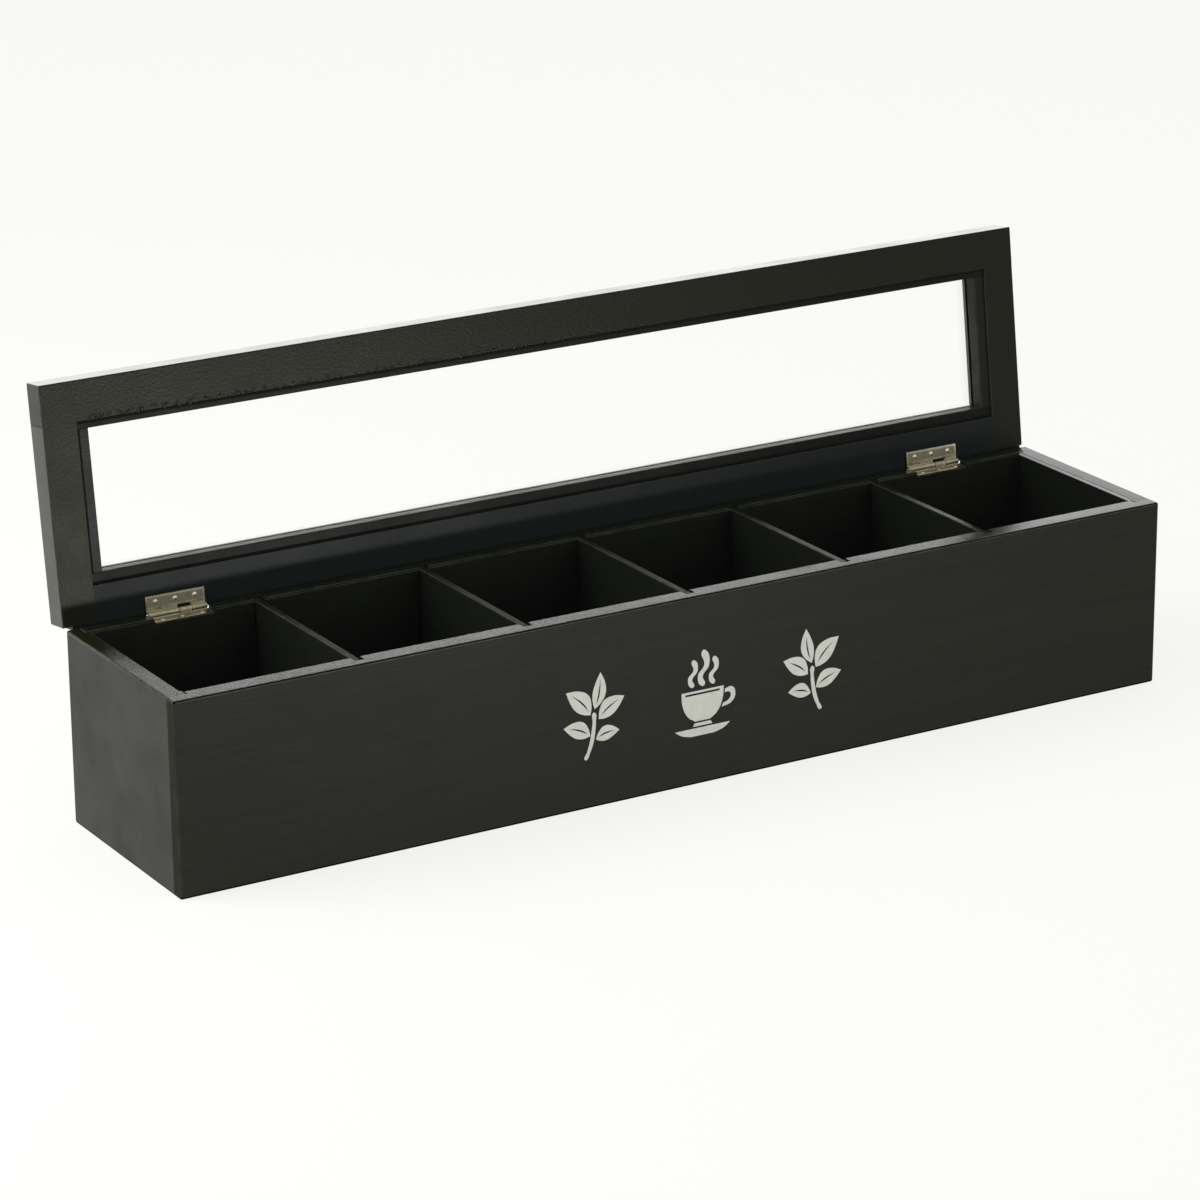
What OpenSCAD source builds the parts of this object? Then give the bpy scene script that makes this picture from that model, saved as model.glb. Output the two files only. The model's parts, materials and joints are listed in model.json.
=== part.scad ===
// Tea bag box: a long six-compartment wooden box with a glazed lid on two butt hinges.
// Millimetres. X runs along the box, Y from front to back, Z up. The origin is the centre
// of the underside. The lid is drawn standing open; it closes by turning about +X.

/* [Box] */
// Outer length of the box, end to end
box_length = 430; // [330:1:600]
// Outer depth of the box, front to back
box_depth = 89; // [70:1:140]
// Height of the box without its lid
box_height = 75; // [58:1:110]
// Number of compartments in the row
compartments = 6; // [2:1:8]

/* [Boards] */
// Thickness of the front board
front_thick = 8.5; // [7:0.1:14]
// Thickness of the two end boards
end_thick = 7.5; // [6:0.1:12]
// Thickness of the back board
back_thick = 5.5; // [4.6:0.1:12]
// Thickness of the bottom panel
bottom_thick = 3; // [2:0.1:6]
// Thickness of a divider
divider_thick = 2.8; // [2:0.1:4]

/* [Joints between boards] */
// Depth of the rebates in the front board, for the end boards and the bottom panel
front_rebate = 3.5; // [2:0.1:4.5]
// Depth of the divider grooves in the front board
front_groove = 4.5; // [2:0.1:5.5]
// Depth of the grooves and rebate in the back board
back_groove = 2.5; // [1.5:0.1:3]
// Depth of the housing and rebate in each end board
end_groove = 2.5; // [1.5:0.1:4]
// Room in the front rebate beside an end board
corner_slack = 0.6; // [0:0.1:1]
// Room in a groove on the left of its divider
groove_gap_left = 0.2; // [0.1:0.1:0.5]
// Room in a groove on the right of its divider
groove_gap_right = 0.9; // [0.1:0.1:1]
// Room at each end of a divider, and round the edge of the bottom panel
edge_gap = 0.2; // [0.1:0.1:0.5]
// Step from the rim down to the top of a divider
divider_drop = 0.3; // [0:0.1:5]
// How far the last divider stands to the left of its even place
last_divider_shift = 3.4; // [0:0.2:6]

/* [Lid frame] */
// Thickness of the lid frame
lid_thick = 10.8; // [9:0.1:16]
// How far the lid stands past the front and the back of the box
lid_overhang = 0.6; // [0:0.1:0.7]
// Gap between the rim and the closed lid
lid_gap = 0.3; // [0.2:0.1:1]
// Width of the front rail, outside the glass rebate
front_rail_width = 15.2; // [12:0.1:17]
// Width of the rear rail, outside the glass rebate
rear_rail_width = 13.7; // [12:0.1:17]
// Width of a stile, outside the glass rebate
stile_width = 13.6; // [10:0.1:17]
// Width of the frame all round, from its outer edge to the window
window_margin = 18.4; // [18.2:0.1:26]
// Thickness of the lip that the glass lies on
lip_thick = 2; // [1.5:0.1:3]
// How far the lip along the rear edge of the lid stands out behind the rear rail
rear_lip = 1.6; // [1:0.1:3]
// From the left end of the lid to the rear lip
rear_lip_left = 4; // [0:0.1:10]
// From the rear lip to the right end of the lid
rear_lip_right = 1.3; // [0:0.1:10]
// Room between a barrel and the rear lip of the closed lid
rear_lip_gap = 0.5; // [0.3:0.1:1]

/* [Glazing] */
// Thickness of the glass
glass_thick = 2; // [1.5:0.1:3]
// Room between the edge of the glass and the frame
glass_gap = 0.3; // [0.1:0.1:1]
// How far the beads lie below the inside face of the frame
bead_sink = 1; // [0.3:0.1:2]

/* [Hinges] */
// Angle of the open lid, from closed
open_angle = 97.5; // [91:0.5:110]
// Distance of each hinge's centre from its end of the box
hinge_inset = 45.5; // [30:0.5:120]
// Length of a hinge
hinge_length = 24; // [20:0.5:40]
// How far a leaf stays short of the inner face of the back board
leaf_inset = 0; // [0:0.1:1]
// Thickness of a leaf
leaf_thick = 0.8; // [0.6:0.05:1.1]
// Depth of the mortise in the rim of the back board
mortise_depth = 2.2; // [2:0.1:3]
// Room round a leaf in the mortise
mortise_gap = 0.3; // [0.2:0.1:1]
// Gap between the back of the box and the barrel
barrel_gap = 0.3; // [0.2:0.1:1]
// Diameter of a hinge pin
pin_diameter = 1; // [0.8:0.1:1.2]
// Running clearance, on the radius, between a pin and the lid's knuckles
pin_clearance = 0.05; // [0.02:0.01:0.1]
// Width of the domed end of a pin
pin_head_diameter = 1.7; // [1.4:0.1:2]
// Height of the domed end of a pin
pin_head_height = 0.4; // [0.2:0.1:0.8]
// Room along the pin between its domed ends and the barrel
pin_end_gap = 0.2; // [0.1:0.1:0.5]
// Start of the box's knuckle, to the right of the hinge's centre
knuckle_start = 0.6; // [-3:0.1:3]
// Length of the slot that the box's knuckle turns in
knuckle_slot = 5.4; // [4:0.1:8]
// Side clearance between knuckles
knuckle_gap = 0.25; // [0.2:0.05:0.5]
// Depth of the slot in the lid's leaf, from the pin's centre
slot_reach = 2.2; // [1.8:0.1:3]
// Width of the raised border stamped round a leaf
border_width = 0.8; // [0.5:0.1:1.5]
// Height of the raised border
border_height = 0.15; // [0.05:0.05:0.3]

/* [Hinge screws] */
// Screws in each leaf
screws_per_leaf = 3; // [2:1:3]
// Distance between the screws of a leaf
screw_pitch = 8; // [5:0.1:9]
// Diameter of a screw's shank
screw_diameter = 1.2; // [1:0.1:1.6]
// Diameter of a screw's head
screw_head_diameter = 2; // [1.8:0.1:2.4]
// Height of the cone under the head
screw_cone = 0.45; // [0.3:0.05:0.6]
// Height of the domed top of the head
screw_dome = 0.3; // [0.1:0.05:0.4]
// Length of a screw below its head
screw_length = 7; // [5:0.5:8]
// Width of the slot in the head
screw_slot = 0.35; // [0.2:0.05:0.5]
// Room round a screw in its hole, on the radius
screw_gap = 0.05; // [0.02:0.01:0.1]

/* [Hidden] */
paint = "#2b2b26";
inside_paint = "#1e1f1c";
rim_paint = "#33332e";
clear_glass = [0.82, 0.9, 0.88, 0.3];
nickel = "#9a958a";
bright_nickel = "#bdb8ab";

// Overrun of every cut past the face that it opens
over = 1;
$fn = 48;

// Faces of the box
half_length = box_length / 2;
front_y = -box_depth / 2;
back_y = box_depth / 2;
front_inner_y = front_y + front_thick;
back_inner_y = back_y - back_thick;
end_inner_x = half_length - end_thick;

// Bottoms of the grooves and rebates
front_rebate_y = front_inner_y - front_rebate;
front_groove_y = front_inner_y - front_groove;
back_groove_y = back_inner_y + back_groove;
end_groove_x = end_inner_x + end_groove;

// Dividers: even compartments between the end boards, but for the shift of the last divider
compartment_width = (2 * end_inner_x - (compartments - 1) * divider_thick) / compartments;
divider_pitch = compartment_width + divider_thick;
function divider_shift(i) = i == compartments - 1 ? last_divider_shift : 0;
function divider_x(i) = -end_inner_x + i * divider_pitch - divider_thick / 2 - divider_shift(i);

// The closed lid
lid_front_y = front_y - lid_overhang;
lid_back_y = back_y + lid_overhang;
lid_under_z = box_height + lid_gap;
lid_top_z = lid_under_z + lid_thick;
stile_inner_x = half_length - stile_width;
rail_front_inner_y = lid_front_y + front_rail_width;
rail_rear_inner_y = lid_back_y - rear_rail_width;
window_x = half_length - window_margin;
window_front_y = lid_front_y + window_margin;
window_back_y = lid_back_y - window_margin;
lip_z = lid_top_z - lip_thick;
glass_z = lip_z - glass_thick;
bead_z = lid_under_z + bead_sink;

// The hinges: both leaves lie tangent to the barrel, one on the lid and one in the mortise
mortise_z = box_height - mortise_depth;
barrel_radius = (lid_under_z - mortise_z) / 2;
axis_y = back_y + barrel_gap + barrel_radius;
axis_z = mortise_z + barrel_radius;
leaf_front_y = back_inner_y + leaf_inset;
pin_radius = pin_diameter / 2;
slot_start = knuckle_start;
slot_end = knuckle_start + knuckle_slot;
hinge_offset = half_length - hinge_inset;
hinge_x = [-hinge_offset, hinge_offset];

// The sunk middle of a leaf, inside its border, and the row of screws along it
field_front_y = leaf_front_y + border_width;
field_back_y = axis_y - slot_reach - border_width;
field_end_x = hinge_length / 2 - border_width;
screw_y = (field_front_y + field_back_y) / 2;
screw_x = [for (i = [0 : screws_per_leaf - 1]) (i - (screws_per_leaf - 1) / 2) * screw_pitch];

// A block between two corners
module block(low, high) {
    translate(low) cube(high - low);
}

// The same thing at each end of the box
module both_ends() {
    for (side = [0, 1])
        mirror([side, 0, 0])
            children();
}

// A round bar along X from x0 to x1, on the hinge axis
module axis_bar(x0, x1, radius) {
    translate([x0, axis_y, axis_z])
        rotate([0, 90, 0])
            cylinder(h = x1 - x0, r = radius);
}

// Turns what is drawn closed to where it is with the lid standing open
module open_lid() {
    translate([0, axis_y, axis_z])
        rotate([-open_angle, 0, 0])
            translate([0, -axis_y, -axis_z])
                children();
}

// ---- Box ----

// Grooves for the dividers, cut into a board from y0 to y1 above the bottom panel
module divider_grooves(y0, y1) {
    for (i = [1 : compartments - 1])
        block(
            [divider_x(i) - divider_thick / 2 - groove_gap_left, y0, bottom_thick],
            [divider_x(i) + divider_thick / 2 + groove_gap_right, y1, box_height + over]
        );
}

module front_board() {
    color(paint) difference() {
        block([-half_length, front_y, 0], [half_length, front_inner_y, box_height]);
        both_ends()
            block(
                [end_inner_x - corner_slack, front_rebate_y, -over],
                [half_length + over, front_inner_y + over, box_height + over]
            );
        block(
            [-half_length, front_rebate_y, -over],
            [half_length, front_inner_y + over, bottom_thick]
        );
        divider_grooves(front_groove_y, front_inner_y + over);
    }
}

module back_board() {
    color(paint) difference() {
        block([-end_groove_x, back_inner_y, 0], [end_groove_x, back_y, box_height]);
        block(
            [-end_groove_x - over, back_inner_y - over, -over],
            [end_groove_x + over, back_groove_y, bottom_thick]
        );
        divider_grooves(back_inner_y - over, back_groove_y);
        for (x = hinge_x) {
            block(
                [x - hinge_length / 2 - mortise_gap, back_inner_y - over, mortise_z],
                [x + hinge_length / 2 + mortise_gap, back_y + over, box_height + over]
            );
            box_screw_places(x) screw_hole();
        }
    }
}

// The right end board; the left one is its mirror image
module end_board() {
    color(paint) difference() {
        block([end_inner_x, front_rebate_y, 0], [half_length, back_y, box_height]);
        block(
            [end_inner_x - over, front_rebate_y - over, -over],
            [end_groove_x, back_groove_y, bottom_thick]
        );
        block(
            [end_inner_x - over, back_inner_y, -over],
            [end_groove_x, back_y + over, box_height + over]
        );
    }
}

module left_end_board() {
    mirror([1, 0, 0]) end_board();
}

module right_end_board() {
    end_board();
}

module bottom_panel() {
    color(inside_paint)
        block(
            [-end_groove_x + edge_gap, front_rebate_y + edge_gap, 0],
            [end_groove_x - edge_gap, back_groove_y - edge_gap, bottom_thick]
        );
}

module divider(i) {
    color(inside_paint)
        translate([divider_x(i) - divider_thick / 2, front_groove_y + edge_gap, bottom_thick])
            cube([
                divider_thick,
                back_groove_y - front_groove_y - 2 * edge_gap,
                box_height - divider_drop - bottom_thick
            ]);
}

// ---- Hinges ----

// A slotted raised-head screw whose head rests at z = 0, pointing down
module screw() {
    color(bright_nickel) difference() {
        rotate_extrude()
            polygon([
                [0, -screw_length],
                [screw_diameter / 2, -screw_length + screw_diameter],
                [screw_diameter / 2, -screw_cone],
                [screw_head_diameter / 2, 0],
                [screw_head_diameter / 3, screw_dome * 0.75],
                [0, screw_dome]
            ]);
        translate([0, 0, screw_dome])
            cube([screw_head_diameter + over, screw_slot, screw_dome], center = true);
    }
}

// The hole that a screw leaves in wood and in its leaf
module screw_hole() {
    translate([0, 0, -screw_length - screw_gap])
        cylinder(h = screw_length + over, r = screw_diameter / 2 + screw_gap);
    translate([0, 0, -screw_cone])
        cylinder(
            h = screw_cone,
            r1 = screw_diameter / 2 + screw_gap,
            r2 = screw_head_diameter / 2 + screw_gap
        );
    cylinder(h = over, r = screw_head_diameter / 2 + screw_gap);
}

// Puts a screw at each place of the box's leaf on the hinge at x
module box_screw_places(x) {
    for (dx = screw_x)
        translate([x + dx, screw_y, mortise_z + leaf_thick - border_height])
            children();
}

// Puts a screw at each place of the lid's leaf on the hinge at x, lid closed
module lid_screw_places(x) {
    for (dx = screw_x)
        translate([x + dx, screw_y, lid_under_z - leaf_thick + border_height])
            rotate([180, 0, 0])
                children();
}

// The sunk middle of a leaf, inside its border, from z0 to z1
module leaf_field(z0, z1) {
    block([-field_end_x, field_front_y, z0], [field_end_x, field_back_y, z1]);
}

module box_leaf(x) {
    plate_top = mortise_z + leaf_thick;
    color(nickel) difference() {
        translate([x, 0, 0]) difference() {
            union() {
                block(
                    [-hinge_length / 2, leaf_front_y, mortise_z],
                    [hinge_length / 2, axis_y - slot_reach, plate_top]
                );
                block(
                    [slot_start + knuckle_gap, leaf_front_y, mortise_z],
                    [slot_end - knuckle_gap, axis_y, plate_top]
                );
                axis_bar(slot_start + knuckle_gap, slot_end - knuckle_gap, barrel_radius);
            }
            axis_bar(slot_start - over, slot_end + over, pin_radius);
            leaf_field(plate_top - border_height, plate_top + over);
        }
        box_screw_places(x) screw_hole();
    }
}

module lid_leaf(x) {
    plate_z = lid_under_z - leaf_thick;
    color(nickel) open_lid() difference() {
        translate([x, 0, 0]) difference() {
            union() {
                block(
                    [-hinge_length / 2, leaf_front_y, plate_z],
                    [hinge_length / 2, axis_y, lid_under_z]
                );
                axis_bar(-hinge_length / 2, hinge_length / 2, barrel_radius);
            }
            block(
                [slot_start, axis_y - slot_reach, mortise_z - over],
                [slot_end, axis_y + barrel_radius + over, lid_under_z + over]
            );
            axis_bar(-hinge_length, hinge_length, pin_radius + pin_clearance);
            leaf_field(plate_z - over, plate_z + border_height);
        }
        lid_screw_places(x) screw_hole();
    }
}

// A pin with a domed head past each end of the barrel
module hinge_pin(x) {
    head_x = hinge_length / 2 + pin_end_gap;
    color(bright_nickel) translate([x, 0, 0]) {
        axis_bar(-head_x - pin_head_height / 2, head_x + pin_head_height / 2, pin_radius);
        both_ends()
            translate([head_x, axis_y, axis_z])
                rotate([0, 90, 0])
                    cylinder(
                        h = pin_head_height,
                        r1 = pin_head_diameter / 2,
                        r2 = pin_radius
                    );
    }
}

module box_leaf_screws() {
    for (x = hinge_x)
        box_screw_places(x) screw();
}

module lid_leaf_screws() {
    open_lid()
        for (x = hinge_x)
            lid_screw_places(x) screw();
}

// ---- Lid ----

module lid_front_rail() {
    color(paint) open_lid() {
        block(
            [-half_length, lid_front_y, lid_under_z],
            [half_length, rail_front_inner_y, lid_top_z]
        );
        block([-stile_inner_x, lid_front_y, lip_z], [stile_inner_x, window_front_y, lid_top_z]);
    }
}

// The lip behind the rear rail, which laps the ends of the stiles
module rear_lip_bar() {
    block(
        [-half_length + rear_lip_left, lid_back_y, lid_under_z],
        [half_length - rear_lip_right, lid_back_y + rear_lip, lid_top_z]
    );
}

module lid_rear_rail() {
    color(paint) open_lid() difference() {
        union() {
            block(
                [-stile_inner_x, rail_rear_inner_y, lid_under_z],
                [stile_inner_x, lid_back_y, lid_top_z]
            );
            block([-stile_inner_x, window_back_y, lip_z], [stile_inner_x, lid_back_y, lid_top_z]);
            rear_lip_bar();
        }
        for (x = hinge_x) {
            lid_screw_places(x) screw_hole();
            block(
                [x - hinge_length / 2 - mortise_gap, lid_back_y, lid_under_z - over],
                [
                    x + hinge_length / 2 + mortise_gap,
                    lid_back_y + rear_lip + over,
                    lid_under_z + rear_lip_gap
                ]
            );
        }
    }
}

// The right stile; the left one is its mirror image
module lid_stile() {
    color(paint) open_lid() {
        block(
            [stile_inner_x, rail_front_inner_y, lid_under_z],
            [half_length, lid_back_y, lid_top_z]
        );
        block([window_x, window_front_y, lip_z], [half_length, window_back_y, lid_top_z]);
    }
}

module lid_left_stile() {
    mirror([1, 0, 0]) lid_stile();
}

module lid_right_stile() {
    lid_stile();
}

module glass_pane() {
    color(clear_glass) open_lid()
        block(
            [-stile_inner_x + glass_gap, rail_front_inner_y + glass_gap, glass_z],
            [stile_inner_x - glass_gap, rail_rear_inner_y - glass_gap, lip_z]
        );
}

// A long bead between the stiles, from y0 to y1
module long_bead(y0, y1) {
    color(rim_paint) open_lid()
        block([-stile_inner_x, y0, bead_z], [stile_inner_x, y1, glass_z]);
}

module front_bead() {
    long_bead(rail_front_inner_y, window_front_y);
}

module rear_bead() {
    long_bead(window_back_y, rail_rear_inner_y);
}

// The right short bead, between the long ones; the left one is its mirror image
module short_bead() {
    color(rim_paint) open_lid()
        block([window_x, window_front_y, bead_z], [stile_inner_x, window_back_y, glass_z]);
}

module left_bead() {
    mirror([1, 0, 0]) short_bead();
}

module right_bead() {
    short_bead();
}

front_board();
back_board();
left_end_board();
right_end_board();
bottom_panel();
for (i = [1 : compartments - 1])
    divider(i);
box_leaf(-hinge_offset);  // left_box_leaf
box_leaf(hinge_offset);  // right_box_leaf
hinge_pin(-hinge_offset);  // left_hinge_pin
hinge_pin(hinge_offset);  // right_hinge_pin
box_leaf_screws();
lid_front_rail();
lid_rear_rail();
lid_left_stile();
lid_right_stile();
glass_pane();
front_bead();
rear_bead();
left_bead();
right_bead();
lid_leaf(-hinge_offset);  // left_lid_leaf
lid_leaf(hinge_offset);  // right_lid_leaf
lid_leaf_screws();
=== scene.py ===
import json
import math
import random
from functools import partial

import bmesh
import bpy
from bpy.props import FloatProperty, FloatVectorProperty, IntProperty, PointerProperty
from mathutils import Matrix, Vector, noise


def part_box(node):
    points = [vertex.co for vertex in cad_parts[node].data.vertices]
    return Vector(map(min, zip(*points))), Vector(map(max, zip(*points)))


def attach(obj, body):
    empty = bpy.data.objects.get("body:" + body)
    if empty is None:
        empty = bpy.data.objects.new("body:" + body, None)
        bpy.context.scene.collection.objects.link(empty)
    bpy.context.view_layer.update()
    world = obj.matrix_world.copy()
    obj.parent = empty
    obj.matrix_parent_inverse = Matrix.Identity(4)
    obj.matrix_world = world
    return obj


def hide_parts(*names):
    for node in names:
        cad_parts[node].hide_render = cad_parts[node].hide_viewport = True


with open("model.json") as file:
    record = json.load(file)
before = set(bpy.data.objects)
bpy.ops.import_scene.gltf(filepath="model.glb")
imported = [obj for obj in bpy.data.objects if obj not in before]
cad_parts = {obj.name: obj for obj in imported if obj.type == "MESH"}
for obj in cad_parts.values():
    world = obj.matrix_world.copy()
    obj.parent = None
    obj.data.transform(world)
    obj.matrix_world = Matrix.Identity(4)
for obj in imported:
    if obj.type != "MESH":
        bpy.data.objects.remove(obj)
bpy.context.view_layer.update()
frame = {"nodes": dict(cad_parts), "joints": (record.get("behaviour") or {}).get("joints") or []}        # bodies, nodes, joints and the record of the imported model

bl_info = {
    "name": "Tea Bag Organizer Box",
    "version": (1, 0, 0),
    "blender": (4, 5, 0),
    "location": "3D View > Sidebar > Tea Box",
    "description": "Finishes a six-compartment tea bag box with a hinged window lid",
    "category": "Object",
}

MM = 0.001
# Corners closer than WELD are one corner, cuts take in corners closer than SNAP, and a
# point closer than TOUCH to a plane lies on it
WELD = 0.001 * MM
SNAP = 0.0001 * MM
TOUCH = 0.01 * MM
# Edges sharper than the first angle are rounded, and sharper than the second stay creased
CORNER_ANGLE = math.radians(30)
CREASE_ANGLE = math.radians(48)
# Shorter edges than these aren't rounded. At a joint means this close to its plane
SHORTEST_BOX_EDGE, SHORTEST_LID_EDGE, SHORTEST_LEAF_EDGE = 4 * MM, 6 * MM, 1.5 * MM
AT_JOINT = 0.1 * MM
# How far a face's normal points along an axis, at least: square to it, mostly or leaning
# that way. The strips of an edge rounded in three steps lean by 15, 45 and 75 degrees
SQUARE, MOSTLY, LEANING = 0.9, 0.7, 0.2
# How far an upright face's normal points up or down, at most
UPRIGHT = 0.3

JOINT = frame["joints"][0]
HINGE_AXIS = Vector(JOINT["pos_m"])
OPEN_ANGLE = math.radians(JOINT["range_deg"][1])
# The lid is packed open. CLOSE turns a point of it to where it lies when the lid is shut.
# Lid parts are measured and worked on shut, and place() opens them again
CLOSE = (
    Matrix.Translation(HINGE_AXIS)
    @ Matrix.Rotation(OPEN_ANGLE, 4, "X")
    @ Matrix.Translation(-HINGE_AXIS)
)
OPEN = CLOSE.inverted()

BOX_BOARDS = ("front_board", "back_board", "left_end_board", "right_end_board")
# Each divider with the roughness and the gloss of its top: the right ones are rubbed glossier
DIVIDERS = {
    "divider_1": (0.42, 0.06),
    "divider_2": (0.42, 0.06),
    "divider_3": (0.42, 0.06),
    "divider_4": (0.3, 0.1),
    "divider_5": (0.2, 0.1),
}
# How much darker the short walls of a compartment are than the long ones
SHORT_SIDE_TONE = 0.7
LID_RAILS = ("lid_front_rail", "lid_rear_rail")
LID_STILES = ("lid_left_stile", "lid_right_stile")
# Each bead with how dark its outer edge is painted: paint gathers there, and the shade
# of the step above it is painted on
LONG_BEADS = {"front_bead": 0.4, "rear_bead": 0.65}
SHORT_BEADS = {"left_bead": 0.65, "right_bead": 0.0}
# The beads on the front and left of the window. The others lie on its far sides
NEAR_BEADS = ("front_bead", "left_bead")
POOL_AND_SHADE_WIDTH = 1.3 * MM
# A bead is cut across every 5 mm, and its face, the lowest 0.6 mm, rises and falls over 14 mm
BEAD_STEP = 5 * MM
FACE_DEPTH = 0.6 * MM
WAVE_LENGTH = 14 * MM
# Hinge leaves with their bodies, and a leaf's thickness at its stamped raised border
LEAVES = {
    "left_box_leaf": "box", "right_box_leaf": "box",
    "left_lid_leaf": "lid", "right_lid_leaf": "lid",
}
LEAF_THICKNESS = 0.8 * MM
# The motifs are drawn 33.5 mm high and printed a little to the right of the board's
# middle and below it
DRAWN_HEIGHT = 33.5
PRINT_OFFSET = Vector((4 * MM, 0, -1.2 * MM))
# How much of the shadow the floor shows where it is seen
SHADOW_SHARE = 0.16
# The point the camera turns round, and its place in the picture: right of and below the middle
VIEW_TARGET = Vector((0, 0, 37.415 * MM))
PICTURE_OFFSET = (12.962 * MM, -21.983 * MM)

# Numbers of the paints on a box board, a lid part and a hinge leaf. Paint 0 is its main one
RIM, INNER, END_GRAIN, DARKENED_EDGES, RIM_EDGE_HIGHLIGHT = range(1, 6)
EDGE, RAIL_END, STEP, FRONT_EDGE, SHADED_REAR_FACE = range(1, 6)
BRIGHT = 1


def linear(hex_colour):
    """Turns an sRGB hex value into linear red, green and blue."""
    channels = [int(hex_colour[i:i + 2], 16) / 255 for i in (1, 3, 5)]
    return tuple(
        c / 12.92 if c <= 0.04045 else ((c + 0.055) / 1.055) ** 2.4 for c in channels
    )


# ---------------------------------------------------------------- settings

COLOUR = {"subtype": "COLOR", "size": 3, "min": 0, "max": 1}
LENGTH = {"subtype": "DISTANCE", "unit": "LENGTH", "precision": 6}
ANGLE = {"subtype": "ANGLE", "unit": "ROTATION"}
POWER = {"subtype": "POWER", "unit": "POWER", "min": 0, "max": 100}


class TeaBoxFinish(bpy.types.PropertyGroup):
    """Sizes and colours of the painted wood, the hinges and the printed motifs"""

    paint_colour: FloatVectorProperty(
        name="Black Paint", default=linear("#15170b"), **COLOUR,
        description="Satin black paint on the boards and the lid",
    )
    # Paler paint of rubbed corners, also used as a painted highlight on the window step and bead
    # walls
    worn_and_highlight_colour: FloatVectorProperty(
        name="Worn Paint", default=linear("#454540"), **COLOUR,
        description="Rubbed corners, where the paint is thin",
    )
    # Pale paint along the end rims' inner edges: a painted highlight
    rim_edge_highlight_colour: FloatVectorProperty(
        name="Rubbed Rim Edge", default=linear("#a9a5a8"), **COLOUR,
        description="Primer that shows along the inner edges of the end rims",
    )
    inside_colour: FloatVectorProperty(
        name="Inside Paint", default=linear("#1a1d1a"), **COLOUR,
        description="Flat black paint in the compartments",
    )
    lid_colour: FloatVectorProperty(
        name="Lid Paint", default=linear("#12130c"), **COLOUR,
        description="Pebbled black paint under the lid",
    )
    lid_gloss_colour: FloatVectorProperty(
        name="Lid Gloss", default=linear("#fffff0"), **COLOUR,
        description="Faint warm tint of the gloss on the lid's yellowed lacquer",
    )
    # A darker, cooler black for the rear rail's underside: painted shade
    rear_rail_shade_colour: FloatVectorProperty(
        name="Rear Rail Paint", default=linear("#131919"), **COLOUR,
        description="Flatter, cooler black paint on the lid's rear rail",
    )
    edge_colour: FloatVectorProperty(
        name="Lid Edge Paint", default=linear("#27271f"), **COLOUR,
        description="Thin sanded paint on the lid's outer edge",
    )
    bead_colour: FloatVectorProperty(
        name="Bead Paint", default=linear("#12130d"), **COLOUR,
        description="Paint on the beads that hold the glass",
    )
    nickel_colour: FloatVectorProperty(
        name="Nickel", default=linear("#928c78"), **COLOUR,
        description="Nickel plate on the hinge leaves",
    )
    print_colour: FloatVectorProperty(
        name="Print", default=linear("#cdcdc5"), **COLOUR,
        description="Screen-printed motifs",
    )
    board_edge: FloatProperty(
        name="Board Edge Radius", min=0.1 * MM, max=1.5 * MM, default=0.9 * MM, **LENGTH,
        description="Rounding of the boards' outer edges",
    )
    lid_edge: FloatProperty(
        name="Lid Edge Radius", min=0.1 * MM, max=1.5 * MM, default=0.45 * MM, **LENGTH,
        description="Rounding of the lid frame's edges",
    )
    bead_edge: FloatProperty(
        name="Bead Edge Radius", min=0.1 * MM, max=0.8 * MM, default=0.4 * MM, **LENGTH,
        description="Rounding of the edges of the beads and the dividers",
    )
    leaf_edge: FloatProperty(
        name="Leaf Edge Radius", min=0.03 * MM, max=0.3 * MM, default=0.24 * MM, **LENGTH,
        description="Rounding of the pressed edges of the hinge leaves",
    )
    bead_wave: FloatProperty(
        name="Bead Waviness", min=0, max=0.5 * MM, default=0.12 * MM, **LENGTH,
        description="How far a bead's face wanders up and down along its length",
    )
    motif_height: FloatProperty(
        name="Motif Height", min=10 * MM, max=60 * MM, default=33.5 * MM, **LENGTH,
        description="Height of each printed motif on the front board",
    )
    motif_pitch: FloatProperty(
        name="Motif Pitch", min=20 * MM, max=120 * MM, default=48.5 * MM, **LENGTH,
        description="Distance between the middles of neighbouring motifs",
    )
    ink_thickness: FloatProperty(
        name="Ink Thickness", min=0.01 * MM, max=0.2 * MM, default=0.05 * MM, **LENGTH,
        description="Thickness of the printed ink film",
    )
    drop_count: IntProperty(
        name="Paint Drops", min=0, max=300, default=250,
        description="Number of small paint drops left along the front step of the window",
    )


class TeaBoxStage(bpy.types.PropertyGroup):
    """Camera, floor and lamps"""

    azimuth: FloatProperty(
        name="Camera Azimuth", default=math.radians(-30.675), **ANGLE,
        description="Turn of the camera round the box, zero looking along +Y",
    )
    elevation: FloatProperty(
        name="Camera Elevation", default=math.radians(18.912), **ANGLE,
        description="Height of the camera above the horizon",
    )
    roll: FloatProperty(
        name="Camera Roll", default=math.radians(-0.469), **ANGLE,
        description="Tilt of the picture about the view direction",
    )
    distance: FloatProperty(
        name="Camera Distance", default=1782.46 * MM, **LENGTH,
        description="Distance from the camera to the middle of the box",
    )
    focal_length: FloatProperty(
        name="Focal Length", min=20, max=400, default=140.05,
        description="Focal length of the lens on a 36 mm sensor, in millimetres",
    )
    world_light: FloatProperty(
        name="Room Light", min=0, max=2, default=0.9,
        description="Strength of the even white light of the room",
    )
    key_power: FloatProperty(
        name="Left Lamp", default=6.8, **POWER,
        description="Power of the large soft lamp on the left",
    )
    sheen_power: FloatProperty(
        name="Sheen Lamp", default=2.5, **POWER,
        description="Power of the low strip lamp that only shows as a sheen on the lid",
    )
    rim_power: FloatProperty(
        name="Rim Panel", default=8.9, **POWER,
        description="Power of the wide panel behind the box, seen only as gloss on the rims",
    )
    floor_colour: FloatVectorProperty(
        name="Floor", default=linear("#fcfcfa"), **COLOUR,
        description="Pale floor and the light of the room",
    )


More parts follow.
